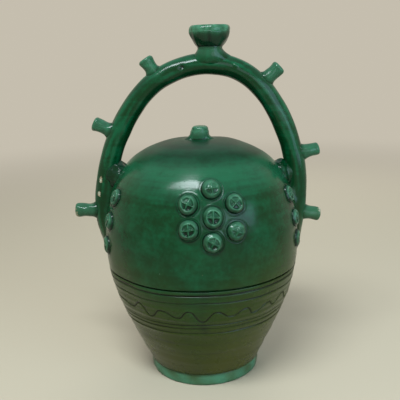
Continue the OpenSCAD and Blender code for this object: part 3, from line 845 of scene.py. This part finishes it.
# Cup: its side widens fast and then slowly to the mouth, the lip is an oval roll, and the
# inside is a cubic from the roll down to the throat
def buildCup(base, up):
    q = funnel
    t = np.linspace(0, 1, 26)
    wide, tall, footR = q["lipWide"], q["lipTall"], q["waistR"] + 0.3
    lipUp = q["waistUp"] + q["cupH"] - tall
    opening = 1 - (1 - np.clip(t / q["bowl"], 0, 1)) ** q["bowlFlare"]
    side = np.column_stack([footR + (q["mouthR"] - footR) * opening,
                            q["waistUp"] - 0.2 + (lipUp - 1.0 - q["waistUp"]) * t])
    b = np.radians(np.linspace(-15, 170, 16))
    lip = np.column_stack([q["mouthR"] - wide + wide * np.cos(b), lipUp + tall * np.sin(b)])
    t = np.linspace(1, 0, 22)[1:]
    inside = np.column_stack([cubic(t, q["throatR"], q["mouthR"] - 2 * wide, 10, 3),
                              q["waistUp"] + 1.6 + (lipUp - q["waistUp"] - 1.6) * t])
    profile = np.vstack([side, lip, inside, [[q["throatR"], q["waistUp"] - 0.2]]])
    grid = onTube(profile, q["columns"], base, up, np.zeros(len(profile)), 33, q["cupWobble"])
    row, first, last = rowNumbers(grid), len(side), len(side) + len(lip)
    pale = q["lipPale"] + q["lipPatchy"] * lumps(grid, 6, 36)
    crest = pale * band(row, first - 9, first + 3, last - 3, last + 1)
    smear = bell(ringAngles(q["columns"]) - q["smearTurn"], q["smearWidth"])
    smear = smear * band(row, 4, 9, first - 3, first + 2)
    # Painted shade in the crease at the cup's foot, on its side under the lip, where the tone is
    # darker too, and deep inside; the smear is dark glaze
    hollow = (0.8 * bell(row, 1.6) + 0.5 * smear + q["cupShade"] * fall(row, first - 14, first + 2)
              + q["insideShade"] * rise(row, last + 3, last + 12))
    marks = {"crest": crest, "hollow": np.clip(hollow, 0, 1),
             "tone": lumps(grid, 9, 35) - 0.6 * fall(row, first - 12, first)}
    makePiece("funnel_cup_glazed", grid, glazeLight, ["funnel_cup"], marks, loop=True)


crown, upwards = (funnel["x"], funnel["crownZ"]), np.array([0.0, 1.0])
buildCollar(crown, upwards)
buildCup(crown, upwards)
print("funnel made")

# Stamped bosses: turn from the front in degrees, height, radius, turn of the stamp in
# degrees, how deep it went in, how much taller than wide the boss is, and how far it
# stands proud
bosses = dict(
    rows=40, columns=104, shoulder=2.15, crown=2.0, sunk=2.4, flange=4.4,
    crease=(0.9, 0.10, 0.10), pillow=(0.24, 0.38, 0.18),
    pitFrom=0.7, pitTo=4.5, pitDepth=1.2, spoke=1.15, ridgeR=5.6, ridgeWidth=0.6, ridge=0.40,
    dish=0.3, lumpHeight=0.16, dentHeight=0.10, outOfRound=0.35,
    pale=0.04, sidePaler=0.14, ridgePale=0.48, topSheen=0.26, patchy=0.14,
    places=(
        ("rosette_top", 6.6, 195.9, 8.8, 4, 0.6, 1.02, 5.0),
        ("rosette_upper_left", -7.5, 184.9, 8.7, -24, 1.0, 1.04, 5.0),
        ("rosette_upper_right", 19.3, 184.1, 8.5, 38, 0.9, 1.05, 5.0),
        ("rosette_centre", 6.1, 174.5, 8.9, -4, 1.15, 1.10, 5.2),
        ("rosette_lower_left", -6.9, 165.0, 8.8, 6, 1.1, 1.05, 5.0),
        ("rosette_lower_right", 18.3, 162.3, 8.7, 62, 0.45, 1.0, 5.2),
        ("rosette_bottom", 5.6, 154.2, 8.8, -30, 0.8, 1.03, 5.2),
        ("left_root_boss_upper", -63.5, 182.0, 8.2, 15, 0.8, 1.05, 3.6),
        ("left_root_boss_middle", -66.0, 159.8, 8.0, 40, 0.8, 1.05, 3.6),
        ("left_root_boss_lower", -70.0, 136.2, 8.0, 10, 0.7, 1.05, 3.6),
        ("right_root_boss_upper", 68.5, 179.5, 8.2, 25, 0.8, 1.05, 3.6),
        ("right_root_boss_middle", 69.0, 157.5, 8.0, 5, 0.8, 1.05, 3.6),
        ("right_root_boss_lower", 71.5, 136.6, 8.0, 50, 0.7, 1.05, 3.6),
    ),
)


# Profile of a boss and the number of its own rows. They go from the middle out over a
# shoulder, which is a quarter superellipse, then through a crease, over a low swelling of
# the body's own glaze, and down into the wall.
def bossProfile(edge, proud):
    q = bosses
    b = np.linspace(0.02, math.pi / 2, q["rows"])
    pat = np.column_stack([edge * np.sin(b) ** (2 / q["shoulder"]),
                           proud * np.cos(b) ** (2 / q["crown"])])
    pat[0, 0] = 0
    away = np.linspace(0, 1, 13)[1:]
    depth, creaseAt, creaseWidth = q["crease"]
    height, pillowAt, pillowWidth = q["pillow"]
    glaze = height * bell(away - pillowAt, pillowWidth) - depth * bell(away - creaseAt, creaseWidth)
    ring = np.column_stack([edge + q["flange"] * away, glaze + 0.03])
    last = edge + q["flange"]
    wall = [[last + 0.04, 0.02], [last + 0.05, -0.1], [last - 0.6, -q["sunk"]], [0, -q["sunk"]]]
    return np.vstack([pat, ring, wall]), len(pat)


# A pat of clay laid on the body. The stamp is a wheel: four pits between a cross of
# spokes, inside a raised ring.
def buildBoss(k, name, turn, height, edge, spin, press, tall, proud):
    q = bosses
    profile, ownRows = bossProfile(edge, proud)
    a, r, up = np.broadcast_arrays(ringAngles(q["columns"]), profile[:, :1], profile[:, 1:])
    own = 1.0 * (np.arange(len(profile)) < ownRows)[:, None]
    x, y = r * np.cos(a), r * np.sin(a)
    c, s = math.cos(math.radians(spin)), math.sin(math.radians(spin))
    spokes = np.minimum(np.abs(x * c + y * s), np.abs(y * c - x * s))
    pit = rise(spokes, 0.25 * q["spoke"], 0.95 * q["spoke"]) * own
    pit = pit * band(r, q["pitFrom"], q["pitFrom"] + 1.0, q["pitTo"] - 0.6, q["pitTo"] + 0.5)
    ridge = bell(r - q["ridgeR"], q["ridgeWidth"]) * own
    dish = q["dish"] * fall(r, 3.5, 5.2) * own
    near = np.stack([x, y, 0 * x + 30 * k], axis=-1)
    bumpy = (q["lumpHeight"] * lumps(near, 6, 70) + q["dentHeight"] * lumps(near, 3, 72)) * own
    # Share of the boss's lower side, which takes more painted shade
    lower = rise(-y / (r + 1), -0.5, 0.8)
    up = (up + press * (q["ridge"] * ridge - q["pitDepth"] * pit - dish)
          + bumpy * rise(up, 0, 2))
    r = r + q["outOfRound"] * lumps(near, 15, 71) * rise(r, 0, 6)
    x, y = r * np.cos(a), r * np.sin(a) * (1 + (tall - 1) * own)
    z = height + y / math.hypot(1, float(bodySlope(height)))
    angle = math.radians(turn) + x / bodyRadius(z)
    grid = skin(angle, z, up)

    # Painted shade in the crease round the boss and in the pits, stronger on the lower side, and a
    # painted sheen on the boss's upper side
    creaseShade = bell(r - edge - 0.2, 1.0) + (0.30 + 0.4 * lower) * bell(r - edge, 2.3)
    hollow = np.clip(press * pit * (0.35 + 0.75 * lower) + creaseShade, 0, 1)
    worn = np.clip(0.6 + 0.7 * lumps(near, 5, 75), 0, 1.2)
    paler = q["pale"] + q["sidePaler"] * (abs(turn) > 45)
    crest = (paler + q["ridgePale"] * press * ridge * worn
             + q["topSheen"] * rise(y / (r + 1), -0.1, 0.9) + q["patchy"] * lumps(near, 6, 74))
    wallCrest = bodyGlaze["upperPaleAndSheen"] * upperShare(z) - glazeLook["paler"]
    wallTone = bodyTone(angle, z)[0] + bodyGlaze["upperThinAndSheen"] * upperShare(z)
    marks = {"hollow": hollow, "crest": own * crest + (1 - own) * wallCrest,
             "tone": own * 0.5 * lumps(near, 7, 73) + (1 - own) * wallTone,
             "dull": (1 - own) * topShare(z)}
    makePiece(name + "_glazed", grid, glazeLight, [name], marks)


for k, place in enumerate(bosses["places"]):
    buildBoss(k, *place)
print("bosses made")

# Knob that closes the dome
knob = dict(
    radius=8.0, neck=8.8, height=11.8, roundR=3.2, shiftX=0.9, tuck=0.97,
    skirt=18.0, skirtUp=6.5, skirtSunk=1.6, skirtFlare=2.8, depth=4.5,
    domeZ=body["bellyZ"] + body["domeH"], columns=104, lumpHeight=0.20, dentHeight=0.10,
    seamShadow=0.95, pale=0.34,
)


# A turned profile: a skirt that comes in to the neck by a power of the height, a straight
# wall, a rounded edge and a nearly flat top. In front the skirt is tucked in, and
# elsewhere it takes the look of the dome.
def buildKnob():
    q = knob
    domeZ, top = q["domeZ"], q["domeZ"] + q["height"]
    low, skirtTop = domeZ - q["skirtSunk"], domeZ + q["skirtUp"]
    t = np.linspace(0, 1, 30)[1:]
    skirt = np.column_stack([q["neck"] + (q["skirt"] - q["neck"]) * (1 - t) ** q["skirtFlare"],
                             low + (skirtTop - low) * t])
    t = np.linspace(0, 1, 9)[1:-1]
    wall = np.column_stack([q["neck"] + (q["radius"] - q["neck"]) * t,
                            skirtTop + (top - q["roundR"] - skirtTop) * t])
    b = np.linspace(0, math.pi / 2, 16)
    head = (np.array([q["radius"], top])
            + q["roundR"] * (np.column_stack([np.cos(b), np.sin(b)]) - 1))
    deep = domeZ - q["depth"]
    profile = np.vstack([[[0, deep], [q["skirt"] - 1, deep], [q["skirt"], low]],
                         skirt, wall, head, [[q["radius"] * 0.3, top + 0.3], [0, top + 0.4]]])
    outer = np.zeros(len(profile))
    outer[4:-1] = 1

    def relief(angle, z, r):
        points = roundAxis(r, angle, z)
        # Painted shadow along the front, where the knob meets the dome
        creaseShade = fall(z, domeZ + 0.4, domeZ + 1.4) * rise(np.cos(angle), 0.55, 0.85)
        high = q["lumpHeight"] * lumps(points, 12, 41) + q["dentHeight"] * lumps(points, 5, 42)
        return high, q["seamShadow"] * creaseShade

    grid, hollow = turned(profile, outer, q["columns"], relief)
    r = np.hypot(grid[..., 0], grid[..., 1])
    front = rise(np.cos(angleOf(grid)), 0.35, 0.85)
    inward = 1 - front * q["tuck"] * np.clip(r - q["neck"], 0, None) / np.maximum(r, 1)
    grid[..., :2] *= inward[..., None]
    grid[..., 0] += q["shiftX"] * rise(grid[..., 2], domeZ - 2, top)
    away = np.hypot(grid[..., 0] - 0.5 * q["shiftX"], grid[..., 1]) - q["neck"]
    melt = rise(away, 0.6, 3)
    crest = q["pale"] * (1 - melt) * rise(grid[..., 2], domeZ + 2, domeZ + 6)
    marks = {"hollow": np.maximum(hollow, 0.45 * melt),
             "crest": crest - glazeLook["paler"] * melt, "dull": melt,
             "tone": lumps(grid, 7, 43) * (1 - melt)}
    makePiece("crown_knob_glazed", grid, glazeLight, ["crown_knob"], marks)


buildKnob()

# Wads of clay pressed into the corners between the tube and the dome: a lumpy ball that
# swells where it nears the body or the tube
wads = dict(
    rows=60, columns=96, lumpy=0.10, meltReach=3.2, meltLift=2.6, dark=0.35,
    places=(("left_root_wad", -1, (-78.5, -0.8, 196.5), (9.6, 11.2, 9.8), 51),
            ("right_root_wad", 1, (76.5, -0.8, 192), (9.6, 11.2, 11.5), 52)),
)


def buildWad(name, side, centre, size, seed):
    q = wads
    up = np.linspace(-math.pi / 2, math.pi / 2, q["rows"])[:, None]
    angle, up = np.broadcast_arrays(ringAngles(q["columns"]), up)
    ball = np.stack([np.cos(up) * np.cos(angle), np.cos(up) * np.sin(angle), np.sin(up)], axis=-1)
    share = 1 + q["lumpy"] * lumps(ball * 10, 8, seed)[..., None]
    grid = np.array(centre) + ball * np.array(size) * share
    gap = np.clip(np.minimum(bodyGap(grid), tubeGap(grid, side)), 0, None)
    grid = grid + ball * (q["meltLift"] * np.exp(-gap / q["meltReach"]))[..., None]
    grid[0], grid[-1] = grid[0].mean(axis=0), grid[-1].mean(axis=0)
    # Darker glaze all over, with painted shade where the wad nears the body and the tube
    marks = {"tone": lumps(grid, 9, seed), "hollow": q["dark"] * (1 + np.exp(-gap / 1.2))}
    makePiece(name + "_glazed", grid, glazeDeep, [name], marks)


for wad in wads["places"]:
    buildWad(*wad)
print("knob and wads made")

# Stage: a plain pale floor that fades into a plain pale background, a little bluer high
# above. What isn't seen or mirrored gets the soft light.
stage = dict(
    size=6.0, fade=(0.5, 1.6), floor=(0.55, 0.485, 0.365), far=(0.56, 0.515, 0.425),
    ceiling=(0.60, 0.68, 0.74), ceilingFrom=(0.30, 0.75), soft=(0.95, 0.98, 1.0), softLight=0.38,
)


def buildFloor():
    f = Finish("stage floor")
    place = f.node("ShaderNodeTexCoord", {}, {}).out("Object")
    away = f.node("ShaderNodeVectorMath", {"operation": "LENGTH"}, {0: place}).out("Value")
    near = f.node("ShaderNodeBsdfDiffuse", {}, {"Color": f.colour(stage["floor"])})
    far = f.node("ShaderNodeEmission", {}, {"Color": f.colour(stage["far"]), "Strength": 1.0})
    mixed = f.node("ShaderNodeMixShader", {}, {0: away.between(*stage["fade"]), 1: near, 2: far})
    half = stage["size"] / 2
    corners = [(-half, -half, 0), (half, -half, 0), (half, half, 0), (-half, half, 0)]
    mesh = bpy.data.meshes.new("floor")
    mesh.from_pydata(corners, [], [(0, 1, 2, 3)])
    mesh.materials.append(f.close(mixed))
    floor = bpy.data.objects.new("floor", mesh)
    bpy.context.scene.collection.objects.link(floor)


def buildWorld():
    world = bpy.data.worlds.new("studio")
    bpy.context.scene.world = world
    w = Finish("studio", world=world)
    rays = w.node("ShaderNodeLightPath", {}, {})
    seen = rays.out("Is Camera Ray") + rays.out("Is Glossy Ray") + rays.out("Is Transmission Ray")
    direction = w.node("ShaderNodeTexCoord", {}, {}).out("Generated")
    upward = w.node("ShaderNodeSeparateXYZ", {}, {0: direction}).out("Z")
    colour = w.mix(upward.between(*stage["ceilingFrom"]), stage["far"], stage["ceiling"])
    back = w.node("ShaderNodeBackground", {}, {"Color": colour, "Strength": 1.0})
    soft = w.node("ShaderNodeBackground", {},
                  {"Color": w.colour(stage["soft"]), "Strength": stage["softLight"]})
    mixed = w.node("ShaderNodeMixShader", {}, {0: seen.clamped(), 1: soft, 2: back})
    w.node("ShaderNodeOutputWorld", {}, {"Surface": mixed})


buildFloor()
buildWorld()

# Lamps: place, what each points at, size, power, tint, and whether the glaze mirrors it
lamps = dict(
    ceiling=((-0.19, -0.56, 1.12), (0, -0.05, 0.19), (0.72, 0.24), 12.5, (0.86, 0.95, 1.0), True),
    window=((0.84, -0.76, 0.46), (0, -0.05, 0.17), (0.70, 0.78), 4.4, (0.48, 0.75, 1.0), True),
    room=((0.34, -0.95, 0.42), (0, -0.05, 0.17), (0.80, 0.46), 1.8, (0.68, 0.86, 1.0), True),
    behind=((0.25, 1.00, 0.70), (0, 0, 0.17), (1.0, 0.5), 4, (0.95, 0.98, 1.0), False),
)


def buildLamp(name, place, target, size, power, tint, mirrored):
    data = bpy.data.lights.new(name, "AREA")
    data.shape, data.size, data.size_y = "ELLIPSE", size[0], size[1]
    data.energy, data.color = power, tint
    lamp = bpy.data.objects.new(name, data)
    bpy.context.scene.collection.objects.link(lamp)
    lamp.location = place
    away = np.array(place) - np.array(target)
    away = away / np.linalg.norm(away)
    across = np.cross([0, 0, 1.0], away)
    across = across / np.linalg.norm(across)
    turn = np.column_stack([across, np.cross(away, across), away])
    lamp.rotation_euler = Matrix(turn.tolist()).to_euler()
    lamp.visible_camera = False
    lamp.visible_glossy = mirrored


for name, lamp in lamps.items():
    buildLamp(name, *lamp)

# Camera: where it stands in metres, its tilt, lean and turn in radians, its focal length
# in image widths, and the film's width in millimetres
camera = dict(place=(0, -0.5638, 0.3103), pitch=0.247, lean=-0.0284, yaw=-0.0015,
              focal=1.50725, film=36.0)


def buildCamera():
    cp, sp = math.cos(camera["pitch"]), math.sin(camera["pitch"])
    cy, sy = math.cos(camera["yaw"]), math.sin(camera["yaw"])
    right, up = np.array([cy, -sy, 0]), np.array([sy * sp, cy * sp, cp])
    back = -np.array([sy * cp, cy * cp, -sp])
    cl, sl = math.cos(camera["lean"]), math.sin(camera["lean"])
    turn = np.column_stack([right * cl + up * sl, up * cl - right * sl, back])
    data = bpy.data.cameras.new("camera")
    data.sensor_width, data.lens = camera["film"], camera["film"] * camera["focal"]
    made = bpy.data.objects.new("camera", data)
    bpy.context.scene.collection.objects.link(made)
    made.location = camera["place"]
    made.rotation_euler = Matrix(turn.tolist()).to_euler()
    bpy.context.scene.camera = made


buildCamera()
bpy.context.scene.view_settings.view_transform = "Standard"
print("stage, lamps and camera made")
